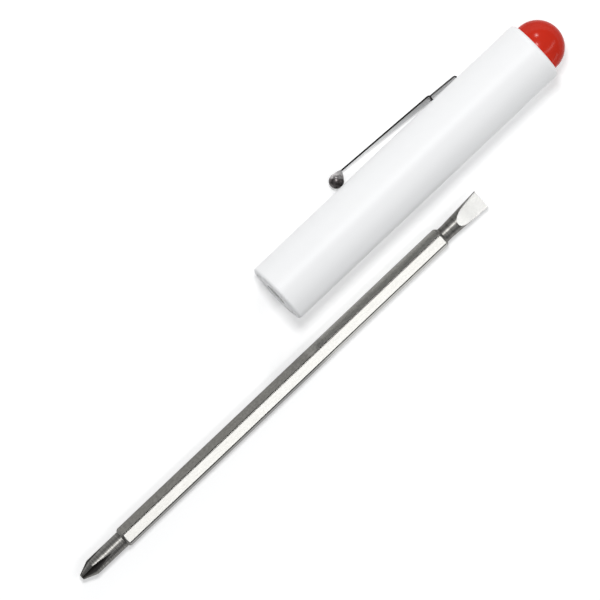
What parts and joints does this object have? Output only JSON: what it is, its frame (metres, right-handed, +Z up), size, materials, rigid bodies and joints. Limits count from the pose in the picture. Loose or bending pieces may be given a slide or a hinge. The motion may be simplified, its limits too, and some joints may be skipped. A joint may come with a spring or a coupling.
{
  "type": "pocket screwdriver",
  "caption": "White barrel pocket screwdriver with a domed red cap and a ball-ended pocket clip, its double-ended hexagon blade drawn out and lying beside it.",
  "frame": {"origin": "centre of the barrel's mouth, on the barrel's axis", "axes": "+X along the barrel from the mouth to the red cap, +Y to the clip side, +Z up from the surface that the set lies on"},
  "size_m": [0.1411, 0.0268, 0.0132],
  "materials": {
    "white_plastic": "glossy moulded",
    "insert_plastic": "satin moulded",
    "spring_wire": "drawn wire",
    "red_plastic": "glossy moulded",
    "clip_steel": "bright plated spring steel",
    "blade_steel": "bright drawn bar, turned and ground ends"
  },
  "bodies": {
    "handle": {"barrel": "white_plastic", "socket_insert": "insert_plastic", "retaining_ring": "spring_wire", "button_cap": "red_plastic"},
    "clip": {"pocket_clip": "clip_steel"},
    "blade": {"reversible_blade": "blade_steel"}
  },
  "joints": [
    {"name": "clip_flex", "type": "hinge", "parent": "handle", "child": "clip", "pos_m": [0.0547, 0.00546, -0.00405], "axis": [0, -0.5953, -0.8035], "range_deg": [0, 4], "stiffness_Nm_per_rad": 0.6},
    {"name": "blade_line_up", "type": "slide", "parent": "handle", "child": "blade", "axis": [-0.9862, 0.1592, 0.0455], "range_m": [0, 0.1012]}
  ]
}
